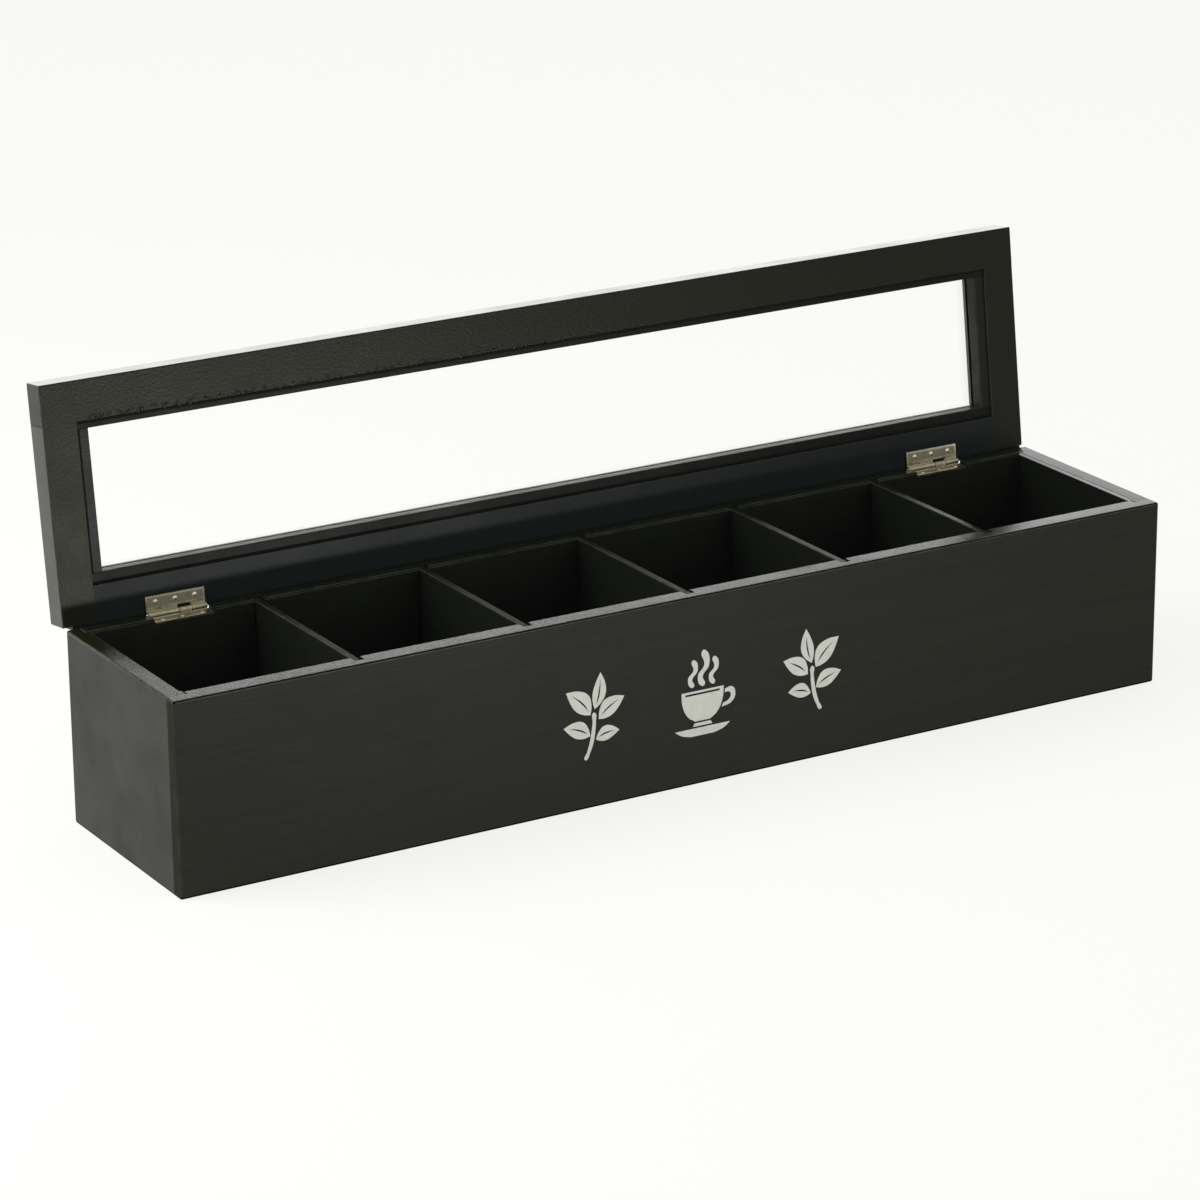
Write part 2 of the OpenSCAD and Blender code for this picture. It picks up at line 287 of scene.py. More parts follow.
# ---------------------------------------------------------------- materials

# Sockets of a Mix node that mixes colours
FACTOR, COLOUR_A, COLOUR_B, MIXED = 0, 6, 7, 2


def add_node(tree, kind, inputs=None, **settings):
    """Adds a shader node, sets its fields, and links or sets its inputs.

    A node that is given as an input stands for its first output.
    """
    node = tree.nodes.new(kind)
    for field, value in settings.items():
        setattr(node, field, value)
    for key, value in (inputs or {}).items():
        if isinstance(value, bpy.types.Node):
            value = value.outputs[0]
        if isinstance(value, bpy.types.NodeSocket):
            tree.links.new(value, node.inputs[key])
        else:
            node.inputs[key].default_value = value
    return node


def emptied(owner):
    """Clears the nodes of a material or a world and returns add_node for its tree."""
    owner.use_nodes = True
    owner.node_tree.nodes.clear()
    return partial(add_node, owner.node_tree)


def new_material(name):
    """Returns a material without nodes, its own add_node, and the place in space."""
    material = bpy.data.materials.new(name)
    add = emptied(material)
    return material, add, add("ShaderNodeTexCoord").outputs["Object"]


def shown(material, surface):
    """Links a material's surface to its output and returns the material."""
    add_node(material.node_tree, "ShaderNodeOutputMaterial", {"Surface": surface})
    return material


def span(low, high, to_low=0.0, to_high=1.0):
    """Returns the inputs of a Map Range node that turn one range of values into another."""
    return {"From Min": low, "From Max": high, "To Min": to_low, "To Max": to_high}


def toned(colour, factor):
    """Lightens or darkens a linear colour."""
    return tuple(min(1.0, c * factor) for c in colour)


def rgba(colour, factor=1.0):
    """Returns a linear colour, lightened or darkened, with full opacity."""
    return toned(colour, factor) + (1.0,)


def painted_wood(name, colour, worn_and_highlight_colour, along="X", turned=False, grain=1.0, cloudy=1.0,
                 pebble=1.0, dust=0.0, speck_size=0.7, roughness=0.42, specular=0.2,
                 gloss_colour=(1.0, 1.0, 1.0)):
    """Makes sprayed black paint on MDF or fine-grained wood.

    Satin nitrocellulose paint, sprayed and rubbed down. The thin film follows the
    wood below it, so long faint streaks, a soft cloudiness and a fine orange peel
    show in its sheen. Sanded rims hold dust and pits, and corners are rubbed pale.
    """
    material, add, place_in_space = new_material(name)
    point = add("ShaderNodeMapping", {
        "Vector": place_in_space, "Rotation": (OPEN_ANGLE if turned else 0.0, 0.0, 0.0),
    })
    # Grain streaks are 1.1 mm wide and 45 mm long: real pores are finer than shows.
    # The bands among them are about five times as large
    streak_long, streak_wide = 1 / (45 * MM), 1 / (1.1 * MM)
    stretch = Vector([streak_long if axis == along else streak_wide for axis in "XYZ"])
    streak, band = [
        add("ShaderNodeTexNoise", {
            "Vector": add("ShaderNodeMapping", {"Vector": point, "Scale": share * stretch}),
            "Scale": 1.0, "Detail": detail, "Roughness": rough,
        })
        for share, detail, rough in ((1.0, 4.0, 0.6), (0.22, 2.0, 0.5))
    ]
    # Cloudiness of the sprayed film, orange peel, sanding dust and pits, patches of wear:
    # each by its size in millimetres. Real dust is finer than shows
    cloud, peel, speck, wear_patch = [
        add("ShaderNodeTexNoise", {
            "Vector": point, "Scale": 1 / (size * MM), "Detail": detail, "Roughness": rough,
        })
        for size, detail, rough in (
            (17, 3.0, 0.55), (1.1, 2.0, 0.5), (speck_size, 3.0, 0.7), (6, 4.0, 0.65),
        )
    ]
    tone = 0.5
    for pattern, share in (
        (streak, 0.45 * grain), (band, 0.35 * grain), (cloud, 0.4 * cloudy), (speck, dust),
    ):
        # Each pattern swings round its own middle, 0.5, by its share
        around = {0: pattern, 1: share, 2: -0.5 * share}
        swing = add("ShaderNodeMath", around, operation="MULTIPLY_ADD")
        tone = add("ShaderNodeMath", {0: swing, 1: tone}, operation="ADD", use_clamp=True)
    # The wear of rubbed corners comes and goes along the edge
    wear = add("ShaderNodeMapRange", {"Value": wear_patch, **span(0.3, 0.7, 0.1, 0.75)})
    worn = add("ShaderNodeAttribute", attribute_name="worn_edge").outputs["Fac"]
    wear = add("ShaderNodeMath", {0: wear, 1: worn}, operation="MULTIPLY")
    # A glued joint is a dark line where the paint has sunk in. The same mark also paints
    # shade on the box's lower edges and along the beads' outer edges
    joint = add("ShaderNodeAttribute", attribute_name="joint").outputs["Fac"]
    paint = rgba(colour, 0.45)
    for factor, over in (
        (tone, rgba(colour, 1.55)), (wear, rgba(worn_and_highlight_colour)), (joint, rgba(colour, 0.15)),
    ):
        layers = {FACTOR: factor, COLOUR_A: paint, COLOUR_B: over}
        paint = add("ShaderNodeMix", layers, data_type="RGBA").outputs[MIXED]
    gloss = add("ShaderNodeMapRange", {
        "Value": cloud, **span(0.3, 0.7, roughness + 0.04 * cloudy, roughness - 0.04 * cloudy),
    })
    gloss = add("ShaderNodeMath", {
        0: joint, 1: 0.5, 2: gloss,
    }, operation="MULTIPLY_ADD", use_clamp=True)
    # Each bump lies on the one before it
    under = {}
    for height, strength, distance in (
        (peel, min(1.0, 0.4 * pebble), 0.06 * pebble * MM),
        (speck, 0.2 + 0.4 * dust, (0.04 + 0.08 * dust) * speck_size / 0.7 * MM),
        (streak, min(1.0, 0.5 * grain), 0.05 * MM),
    ):
        bump = add("ShaderNodeBump", {
            "Height": height, "Strength": strength, "Distance": distance, **under,
        })
        under = {"Normal": bump}
    surface = add("ShaderNodeBsdfPrincipled", {
        "Base Color": paint, "Roughness": gloss, "IOR": 1.48, "Specular IOR Level": specular,
        "Specular Tint": rgba(gloss_colour), **under,
    })
    return shown(material, surface)


def float_glass(name):
    """Makes clear float glass: smooth, colourless, and lamps shine through it."""
    material, add, point = new_material(name)
    # A breath of dust and wiping marks, about 30 mm across, in the gloss only
    haze = add("ShaderNodeTexNoise", {
        "Vector": point, "Scale": 1 / (30 * MM), "Detail": 5.0, "Roughness": 0.6,
    })
    gloss = add("ShaderNodeMapRange", {"Value": haze, **span(0.45, 0.75, 0.0, 0.01)})
    glass = add("ShaderNodeBsdfPrincipled", {
        "Base Color": rgba(linear("#ffffff")), "Roughness": gloss, "IOR": 1.5,
        "Transmission Weight": 1.0,
    })
    clear = add("ShaderNodeBsdfTransparent", {"Color": rgba(linear("#f6faf7"))})
    shadow = add("ShaderNodeLightPath").outputs["Is Shadow Ray"]
    surface = add("ShaderNodeMixShader", {0: shadow, 1: glass, 2: clear})
    return shown(material, surface)


def nickel_plate(name, colour, roughness=0.32, brushed=1.0):
    """Makes nickel plate over pressed steel.

    Warm grey metal, rubbed along its length before plating, with dull spots where
    fingers and screws have touched it.
    """
    material, add, point = new_material(name)
    # Rubbing lines 0.12 mm wide and 8 mm long along the leaf
    line_point = add("ShaderNodeMapping", {
        "Vector": point, "Scale": (1 / (8 * MM), 1 / (0.12 * MM), 1 / (0.12 * MM)),
    })
    line = add("ShaderNodeTexNoise", {
        "Vector": line_point, "Scale": 1.0, "Detail": 3.0, "Roughness": 0.6,
    })
    # Tarnish and grease spots about 2.5 mm across
    spot = add("ShaderNodeTexNoise", {
        "Vector": point, "Scale": 1 / (2.5 * MM), "Detail": 4.0, "Roughness": 0.6,
    })
    shade, gloss = [
        add("ShaderNodeMapRange", {"Value": spot, **span(0.35, 0.65, low, high)})
        for low, high in ((0.0, 1.0), (roughness + 0.08, roughness - 0.05))
    ]
    tint = add("ShaderNodeMix", {
        FACTOR: shade, COLOUR_A: rgba(colour, 0.8), COLOUR_B: rgba(colour, 1.12),
    }, data_type="RGBA")
    bump = add("ShaderNodeBump", {
        "Height": line, "Strength": 0.3 * brushed, "Distance": 0.02 * MM,
    })
    surface = add("ShaderNodeBsdfPrincipled", {
        "Base Color": tint.outputs[MIXED], "Metallic": 1.0, "Roughness": gloss, "Normal": bump,
    })
    return shown(material, surface)


def printing_ink(name, colour):
    """Makes screen-printing ink: a thin matt film with a slightly uneven cover."""
    material, add, point = new_material(name)
    # The mesh of the screen leaves dots of about 0.4 mm, and the cover changes over 5 mm
    mesh_dots, cover = [
        add("ShaderNodeTexNoise", {
            "Vector": point, "Scale": 1 / (size * MM), "Detail": detail, "Roughness": rough,
        })
        for size, detail, rough in ((0.4, 2.0, 0.5), (5, 3.0, 0.6))
    ]
    shade = add("ShaderNodeMath", {0: mesh_dots, 1: cover}, operation="MULTIPLY")
    shade = add("ShaderNodeMapRange", {"Value": shade, **span(0.12, 0.36)})
    ink = add("ShaderNodeMix", {
        FACTOR: shade, COLOUR_A: rgba(colour, 0.9), COLOUR_B: rgba(colour, 1.05),
    }, data_type="RGBA")
    bump = add("ShaderNodeBump", {"Height": mesh_dots, "Strength": 0.3, "Distance": 0.02 * MM})
    surface = add("ShaderNodeBsdfPrincipled", {
        "Base Color": ink.outputs[MIXED], "Roughness": 0.62, "IOR": 1.48,
        "Specular IOR Level": 0.3, "Normal": bump,
    })
    return shown(material, surface)


# ---------------------------------------------------------------- mesh helpers


def box_of(points):
    """Returns the lowest and the highest corner of some points."""
    points = list(points)
    return [Vector([pick(p[i] for p in points) for i in range(3)]) for pick in (min, max)]


def closed_box(node):
    """Returns the corners of a lid node's box as it lies with the lid shut."""
    return box_of(CLOSE @ v.co for v in frame["nodes"][node].data.vertices)


def new_object(name, data):
    """Adds an object with this data to the scene."""
    made = bpy.data.objects.new(name, data)
    bpy.context.scene.collection.objects.link(made)
    return made


def solid(bm, name, paints):
    """Turns a bmesh into an object with these paints."""
    mesh = bpy.data.meshes.new(name)
    bm.to_mesh(mesh)
    bm.free()
    for paint in paints:
        mesh.materials.append(paint)
    return new_object(name, mesh)


def place(bm, piece, body, slot, paints, *nodes, even=True):
    """Turns a bmesh into a finished piece that rides on a body.

    Even shading keeps broad faces flat and lets the rounded edges carry the light.
    """
    if body == "lid":
        bmesh.ops.transform(bm, matrix=OPEN, verts=bm.verts)
    made = solid(bm, piece, paints)
    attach(made, body)
    if nodes:
        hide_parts(*nodes)
    if even:
        modifier = made.modifiers.new("even_shading", "WEIGHTED_NORMAL")
        modifier.keep_sharp = True
        modifier.weight = 100


def merged_copy(node, body="box"):
    """Copies a node's triangles, joins them and clears edges inside flat faces.

    A node of the lid is turned to how it lies with the lid shut.
    """
    bm = bmesh.new()
    bm.from_mesh(frame["nodes"][node].data)
    for layers in (bm.loops.layers.float_vector, bm.loops.layers.uv):
        for layer in list(layers.values()):
            layers.remove(layer)
    bmesh.ops.remove_doubles(bm, verts=bm.verts, dist=WELD)
    bmesh.ops.dissolve_limit(bm, angle_limit=math.radians(1), verts=bm.verts, edges=bm.edges)
    for face in bm.faces:
        face.material_index = 0
    if body == "lid":
        bmesh.ops.transform(bm, matrix=CLOSE, verts=bm.verts)
    return bm


def soften(bm, radius, shortest, outer_only=True, segments=3, flush=None):
    """Rounds the long convex edges and marks the new faces as worn.

    The edges chosen by flush stay sharp, so that no groove shows at that joint.
    """
    worn = bm.faces.layers.float.new("worn_edge")
    sides = box_of(v.co for v in bm.verts)

    def on_the_outside(face):
        """True for a face that lies on one side of the piece's own box."""
        return any(
            all(abs(v.co[i] - side[i]) < TOUCH for v in face.verts)
            for side in sides
            for i in range(3)
        )

    def end_cap(face):
        """True for a face that closes a rounded edge where it stops short."""
        return len(face.verts) == 3 and face.calc_perimeter() > 2 * radius

    edges = [
        e
        for e in bm.edges
        if len(e.link_faces) == 2
        and e.is_convex
        and e.calc_face_angle(0) > CORNER_ANGLE
        and e.calc_length() > shortest
        and (not outer_only or all(on_the_outside(f) for f in e.link_faces))
        and not (flush and flush((e.verts[0].co + e.verts[1].co) / 2))
    ]
    made = bmesh.ops.bevel(
        bm, geom=edges, offset=radius, offset_type="OFFSET", segments=segments, profile=0.5,
        affect="EDGES", clamp_overlap=True, material=-1,
    )
    for face in made["faces"]:
        face[worn] = 1.0
    for face in bm.faces:
        face.smooth = True
    for edge in bm.edges:
        if len(edge.link_faces) == 2 and (
            edge.calc_face_angle(0) > CREASE_ANGLE
            or flush and any(end_cap(f) for f in edge.link_faces)
        ):
            edge.smooth = False


def paint_faces(bm, paint, chosen, marked=None):
    """Gives the faces chosen by their middle and normal one of the piece's paints.

    With the name of a face layer in marked, only the faces marked there are asked.
    """
    layer = bm.faces.layers.float[marked] if marked else None
    for face in bm.faces:
        if (not layer or face[layer] > 0) and chosen(face.calc_center_median(), face.normal):
            face.material_index = paint


def mark_edges(bm, chosen, worn=0.0, joint=0.0):
    """Sets how worn and how dark the chosen rounded edges are."""
    worn_layer = bm.faces.layers.float["worn_edge"]
    joint_and_shade_layer = bm.faces.layers.float.get("joint") or bm.faces.layers.float.new("joint")
    for face in bm.faces:
        if face[worn_layer] and chosen(face.calc_center_median(), face.normal):
            face[worn_layer] = max(worn, 0.001)
            face[joint_and_shade_layer] = joint


def cut_across(bm, axis, at, parts=None, facing=1):
    """Cuts the given parts of a mesh, or all of it, with a plane square to an axis."""
    direction = Vector([float(i == axis) for i in range(3)])
    bmesh.ops.bisect_plane(
        bm, geom=parts or bm.verts[:] + bm.edges[:] + bm.faces[:], dist=SNAP,
        plane_co=direction * at, plane_no=direction * facing,
    )


# ---------------------------------------------------------------- operators


def board_paints(finish):
    """Returns the paints of an end board and of a long board, in the order of their numbers."""
    colours = finish.paint_colour, finish.worn_and_highlight_colour
    shared = (
        painted_wood(
            "sunken_paint_on_end_grain", *colours, along="Y", grain=0.3, dust=0.3,
            roughness=0.62, specular=0.1,
        ),
        painted_wood(
            "painted_shade_and_dark_lines_on_edges", *colours, grain=0.3, roughness=0.8, specular=0.02,
        ),
        painted_wood(
            "painted_highlight_on_inner_rim_edges", finish.rim_edge_highlight_colour, finish.rim_edge_highlight_colour,
            grain=0.3, roughness=0.5,
        ),
    )
    # The end boards' rims are rubbed duller, and their inner faces are painted darker
    return [
        (
            painted_wood(f"satin_black_paint_on_{part}_boards", *colours, **satin),
            painted_wood(
                f"sanded_paint_on_{part}_rims", *colours, grain=0.3, dust=0.85,
                speck_size=0.85, roughness=0.24, specular=rim_gloss,
            ),
            painted_wood(
                f"flat_black_paint_on_{side}_inner_faces", toned(finish.inside_colour, tone),
                finish.worn_and_highlight_colour, grain=0.7, roughness=0.6, specular=0.1,
            ),
            *shared,
        )
        for part, side, rim_gloss, tone, satin in (
            (
                "end", "short", 0.175, SHORT_SIDE_TONE,
                {"along": "Y", "cloudy": 1.3, "specular": 0.25},
            ),
            ("long", "long", 0.29, 1.0, {"grain": 1.7, "cloudy": 1.1, "specular": 0.15}),
        )
    ]


class TEABOX_OT_box_boards(bpy.types.Operator):
    """Paint the four boards of the box and round their edges"""

    bl_idname = "teabox.box_boards"
    bl_label = "Box Boards"

    def execute(self, context):
        finish = context.scene.teabox_finish
        end_paints, long_paints = board_paints(finish)
        front_face, front_inner = [corner.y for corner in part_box("front_board")]
        seams = [corner.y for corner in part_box("left_end_board")]
        right_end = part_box("right_end_board")[1].x
        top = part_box("back_board")[1].z
        # The rims' faces lie above the first of these, and the ends' outer faces past the second
        rim_foot, end_face = top - 1 * MM, right_end - 1 * MM

        def by_a_seam(at, reach):
            """True for a point near a joint between an end board and a long one."""
            return min(abs(at.y - seam) for seam in seams) < reach

        for node in BOX_BOARDS:
            bm = merged_copy(node)
            if node == "front_board":
                # The ink film brings the front face back out to its full size
                for v in bm.verts:
                    if abs(v.co.y - front_face) < TOUCH:
                        v.co.y += finish.ink_thickness
            end_board = "end" in node
            if end_board:
                # The inner edge of the rim stays sharp where it lies against the front board
                rim_edges = [
                    e for e in bm.edges
                    if all(v.co.z > top - TOUCH and abs(v.co.x) < end_face for v in e.verts)
                ]
                rim_corners = {v for e in rim_edges for v in e.verts}
                cut_across(bm, 1, front_inner + finish.board_edge, rim_edges + list(rim_corners))
            soften(
                bm, finish.board_edge, SHORTEST_BOX_EDGE,
                flush=lambda at: at.z > top - AT_JOINT and by_a_seam(at, AT_JOINT)
                or end_board and at.y < front_inner and abs(at.x) < right_end - 2 * MM,
            )
            # Paint has sunk into the joints, and the front's upright corners are rubbed. The lower
            # edges are darkened as painted shade where they meet the floor, and the line under the
            # front rim is darker
            mark_edges(
                bm,
                lambda at, n: by_a_seam(at, 1.2 * MM) and abs(n.z) < UPRIGHT and abs(n.x) > LEANING,
                joint=0.8,
            )
            mark_edges(
                bm,
                lambda at, n: n.y < -LEANING and abs(n.z) < UPRIGHT and abs(n.x) > LEANING,
                worn=0.4,
            )
            mark_edges(bm, lambda at, n: n.z < -LEANING, joint=0.8)
            mark_edges(bm, lambda at, n: n.z > 0.1 and -0.95 < n.y < -0.45, joint=0.7)
            paint_faces(
                bm, INNER, lambda at, n: any(abs(n[i]) > SQUARE and at[i] * n[i] < 0 for i in (0, 1)),
            )
            paint_faces(bm, RIM, lambda at, n: n.z > MOSTLY and at.z > rim_foot)
            if node == "front_board":
                paint_faces(
                    bm, END_GRAIN,
                    lambda at, n: abs(n.x) > SQUARE and abs(at.x) > end_face,
                )
            # Painted shade: the darkened lower edges and the line under the front rim get a dull dark
            # paint
            paint_faces(bm, DARKENED_EDGES, lambda at, n: abs(n.z) > 0.1, marked="joint")
            # The inner edges of the end rims get the pale paint as a painted highlight
            if end_board:
                paint_faces(
                    bm, RIM_EDGE_HIGHLIGHT,
                    lambda at, n: at.z > rim_foot and n.x * at.x < 0 and abs(n.x) > 0.5,
                    marked="worn_edge",
                )
            paints = end_paints if end_board else long_paints
            place(bm, node + "_painted", "box", "box_paint", paints, node)
        return {"FINISHED"}


class TEABOX_OT_compartments(bpy.types.Operator):
    """Paint the dividers and the bottom panel"""

    bl_idname = "teabox.compartments"
    bl_label = "Dividers and Bottom"

    def execute(self, context):
        finish = context.scene.teabox_finish
        side_paint = painted_wood(
            "flat_black_paint_on_dividers", toned(finish.inside_colour, SHORT_SIDE_TONE),
            finish.worn_and_highlight_colour, along="Y", grain=0.7, roughness=0.6, specular=0.1,
        )
        for node, (roughness, gloss) in DIVIDERS.items():
            top_paint = painted_wood(
                "sanded_paint_on_top_of_" + node, finish.paint_colour, finish.worn_and_highlight_colour,
                along="Y", grain=0.3, dust=0.8, roughness=roughness, specular=gloss,
            )
            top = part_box(node)[1].z
            bm = merged_copy(node)
            soften(bm, finish.bead_edge, SHORTEST_BOX_EDGE)
            paint_faces(bm, RIM, lambda at, n: n.z > MOSTLY and at.z > top - 1 * MM)
            place(bm, node + "_painted", "box", "inside_paint", (side_paint, top_paint), node)
        bottom_paint = painted_wood(
            "flat_black_paint_on_bottom", finish.inside_colour, finish.worn_and_highlight_colour, roughness=0.6,
            specular=0.1,
        )
        bm = merged_copy("bottom_panel")
        soften(bm, finish.bead_edge, SHORTEST_BOX_EDGE)
        place(bm, "bottom_panel_painted", "box", "inside_paint", (bottom_paint,), "bottom_panel")
        return {"FINISHED"}


def lid_paints(finish):
    """Returns the rails' and the stiles' face paints, then the other paints from EDGE on."""
    pebbled = {"grain": 0.4, "cloudy": 0.5, "pebble": 1.8}
    lacquered = {
        "roughness": 0.36, "specular": 0.14, "gloss_colour": finish.lid_gloss_colour, **pebbled,
    }

    def lid_paint(name, colour, **look):
        """Makes a paint whose pattern is turned to lie along the open lid."""
        return painted_wood(name, colour, finish.worn_and_highlight_colour, turned=True, **look)

    return [
        lid_paint("pebbled_black_paint_on_lid_rails", finish.lid_colour, **lacquered),
        lid_paint("pebbled_black_paint_on_lid_stiles", finish.lid_colour, along="Y", **lacquered),
        lid_paint(
            "sanded_paint_on_lid_edges", finish.edge_colour, along="Y", grain=0.6, dust=0.5,
            roughness=0.28, specular=0.42,
        ),
        lid_paint(
            "sanded_paint_on_rail_ends", toned(finish.edge_colour, 0.4), grain=0.3, dust=0.5,
            roughness=0.32, specular=0.3,
        ),
        lid_paint(
            "rubbed_and_highlight_paint_on_window_step", finish.worn_and_highlight_colour, grain=0.5, dust=0.4,
            roughness=0.35, specular=0.3,
        ),
        lid_paint(
            "glossy_paint_on_front_edge", finish.edge_colour, grain=0.3, pebble=0.2,
            roughness=0.21, specular=0.5,
        ),
        lid_paint(
            "painted_shade_inside_rear_rail", finish.rear_rail_shade_colour, roughness=0.4,
            specular=0.12, **pebbled,
        ),
    ]


class TEABOX_OT_lid_frame(bpy.types.Operator):
    """Paint the rails and stiles of the lid"""

    bl_idname = "teabox.lid_frame"
    bl_label = "Lid Frame"

    def execute(self, context):
        finish = context.scene.teabox_finish
        rail_paint, stile_paint, *other_paints = lid_paints(finish)
        lid_parts = LID_RAILS + LID_STILES
        lo, hi = box_of(corner for node in lid_parts for corner in closed_box(node))
        seam = closed_box("lid_left_stile")[0].y
        # The walls of the window step lie at the outer and inner edges of the beads
        step_walls = [
            [corner[i] for node in beads for corner in closed_box(node)]
            for i, beads in enumerate((SHORT_BEADS, LONG_BEADS))
        ]

        def on_the_edge(at, n):
            """True for a face of the lid's outer edge, all round."""
            return any(
                abs(n[i]) > MOSTLY and min(abs(at[i] - lo[i]), abs(at[i] - hi[i])) < 0.4 * MM
                for i in (0, 1)
            )

        def on_the_step(at, n):
            """True for a wall of the step that the beads lie in, or of the lip above them."""
            return any(
                abs(n[i]) > SQUARE and min(abs(at[i] - wall) for wall in walls) < 0.3 * MM
                for i, walls in enumerate(step_walls)
            )

        for node in lid_parts:
            bm = merged_copy(node, "lid")
            soften(
                bm, finish.lid_edge, SHORTEST_LID_EDGE,
                flush=lambda at: abs(at.y - seam) < AT_JOINT
                and min(abs(at.z - lo.z), abs(at.z - hi.z)) < AT_JOINT,
            )
            mark_edges(
                bm, lambda at, n: abs(at.y - seam) < 0.7 * MM and abs(n.x) > LEANING, joint=0.5,
            )
            mark_edges(bm, lambda at, n: n.y < -LEANING and n.z < -LEANING, joint=0.7)
            # The walls of the window step get the pale paint: rubbed, and a painted highlight of the
            # light they catch
            paint_faces(bm, STEP, on_the_step)
            paint_faces(bm, EDGE, on_the_edge)
            paint_faces(bm, FRONT_EDGE, lambda at, n: on_the_edge(at, n) and n.y < -SQUARE)
            if node in LID_RAILS:
                paint_faces(bm, RAIL_END, lambda at, n: on_the_edge(at, n) and abs(n.x) > MOSTLY)
            if node == "lid_rear_rail":
                # The rail's underside gets a darker, cooler paint as painted shade
                paint_faces(bm, SHADED_REAR_FACE, lambda at, n: n.z < -SQUARE)
            face_paint = rail_paint if node in LID_RAILS else stile_paint
            place(bm, node + "_painted", "lid", "lid_paint", (face_paint, *other_paints), node)
        return {"FINISHED"}


def shade_bead(bm, across, side, pool_and_shade):
    """Paints shade and gathered paint on a bead's outer edge, and a highlight on the wall by the
    glass.
    """
    inner_line = side * (max(side * v.co[across] for v in bm.verts) - POOL_AND_SHADE_WIDTH)
    cut_across(bm, across, inner_line, facing=-side)
    pool_and_shade_layer = bm.faces.layers.float["joint"]
    wall_highlight_layer = bm.faces.layers.float["worn_edge"]
    for face in bm.faces:
        if side * (face.calc_center_median()[across] - inner_line) > 0:
            face[pool_and_shade_layer] = pool_and_shade
        # The wall by the glass gets the pale worn paint as a painted highlight
        if side * face.normal[across] < -MOSTLY:
            face[wall_highlight_layer] = 0.5


def wave_bead(bm, axis, height):
    """Cuts a bead across at even steps and lets its face wander up and down."""
    start, end = [corner[axis] for corner in box_of(v.co for v in bm.verts)]
    cuts = int((end - start) / BEAD_STEP)
    for i in range(1, cuts):
        cut_across(bm, axis, start + (end - start) * i / cuts)
    under = min(v.co.z for v in bm.verts)
    for v in bm.verts:
        if v.co.z < under + FACE_DEPTH:
            v.co.z += height * noise.noise(v.co / WAVE_LENGTH)


class TEABOX_OT_window_beads(bpy.types.Operator):
    """Paint the four beads round the window and give them a hand-fitted wave"""

    bl_idname = "teabox.window_beads"
    bl_label = "Window Beads"

    def execute(self, context):
        finish = context.scene.teabox_finish
        for axis, beads, kind, roughness, gloss in (
            (0, LONG_BEADS, "long", 0.38, 0.08), (1, SHORT_BEADS, "short", 0.36, 0.13),
        ):
            paint = painted_wood(
                f"satin_black_paint_on_{kind}_beads", finish.bead_colour, finish.worn_and_highlight_colour,
                along="XY"[axis], turned=True, grain=0.6, pebble=1.6, roughness=roughness,
                specular=gloss,
            )
            for node, pool_and_shade in beads.items():
                bm = merged_copy(node, "lid")
                soften(bm, finish.bead_edge, SHORTEST_LID_EDGE)
                mark_edges(bm, lambda at, n: n.z < -0.1, worn=0.3)
                shade_bead(bm, 1 - axis, -1 if node in NEAR_BEADS else 1, pool_and_shade)
                wave_bead(bm, axis, finish.bead_wave)
                place(bm, node + "_painted", "lid", "bead_paint", (paint,), node)
        return {"FINISHED"}


class TEABOX_OT_paint_drops(bpy.types.Operator):
    """Leave small drops of paint and glue along the front step of the window"""

    bl_idname = "teabox.paint_drops"
    bl_label = "Paint Drops"

    def execute(self, context):
        finish = context.scene.teabox_finish
        random.seed(7)
        paint = painted_wood(
            "dried_paint_drops", finish.bead_colour, finish.worn_and_highlight_colour, turned=True,
            grain=0.2, roughness=0.24, specular=0.35,
        )
        lo, hi = closed_box("front_bead")
        under = closed_box("lid_front_rail")[0].z
        bm = bmesh.new()
        for _ in range(finish.drop_count):
            # Drops crowd the left third of the step and thin out to the middle
            share = random.random() ** 1.3
            x = lo.x + 4 * MM + share * 0.6 * (hi.x - lo.x)
            width = random.uniform(0.4, 0.8) * MM
            size = (
                width * random.uniform(0.9, 1.5),
                width * random.uniform(0.8, 1.1),
                width * random.uniform(0.6, 0.9),
            )
            middle = Vector((x, lo.y + random.uniform(-1.7, 0.1) * MM, under + 0.15 * MM))
            bmesh.ops.create_icosphere(
                bm, subdivisions=1, radius=1.0,
                matrix=Matrix.Translation(middle)
                @ Matrix.Rotation(random.uniform(-0.5, 0.5), 4, "Z")
                @ Matrix.Diagonal((*size, 1.0)),
            )
        for face in bm.faces:
            face.smooth = True
        place(bm, "paint_drops", "lid", "bead_paint", (paint,), even=False)
        return {"FINISHED"}


class TEABOX_OT_window_glass(bpy.types.Operator):
    """Glaze the lid with a clear pane whose edges are seamed"""

    bl_idname = "teabox.window_glass"
    bl_label = "Window Glass"

    def execute(self, context):
        bm = merged_copy("glass_pane", "lid")
        soften(bm, 0.2 * MM, SHORTEST_BOX_EDGE, segments=2)
        glass = float_glass("clear_float_glass")
        place(bm, "glass_pane_clear", "lid", "window_glass", (glass,), "glass_pane")
        return {"FINISHED"}


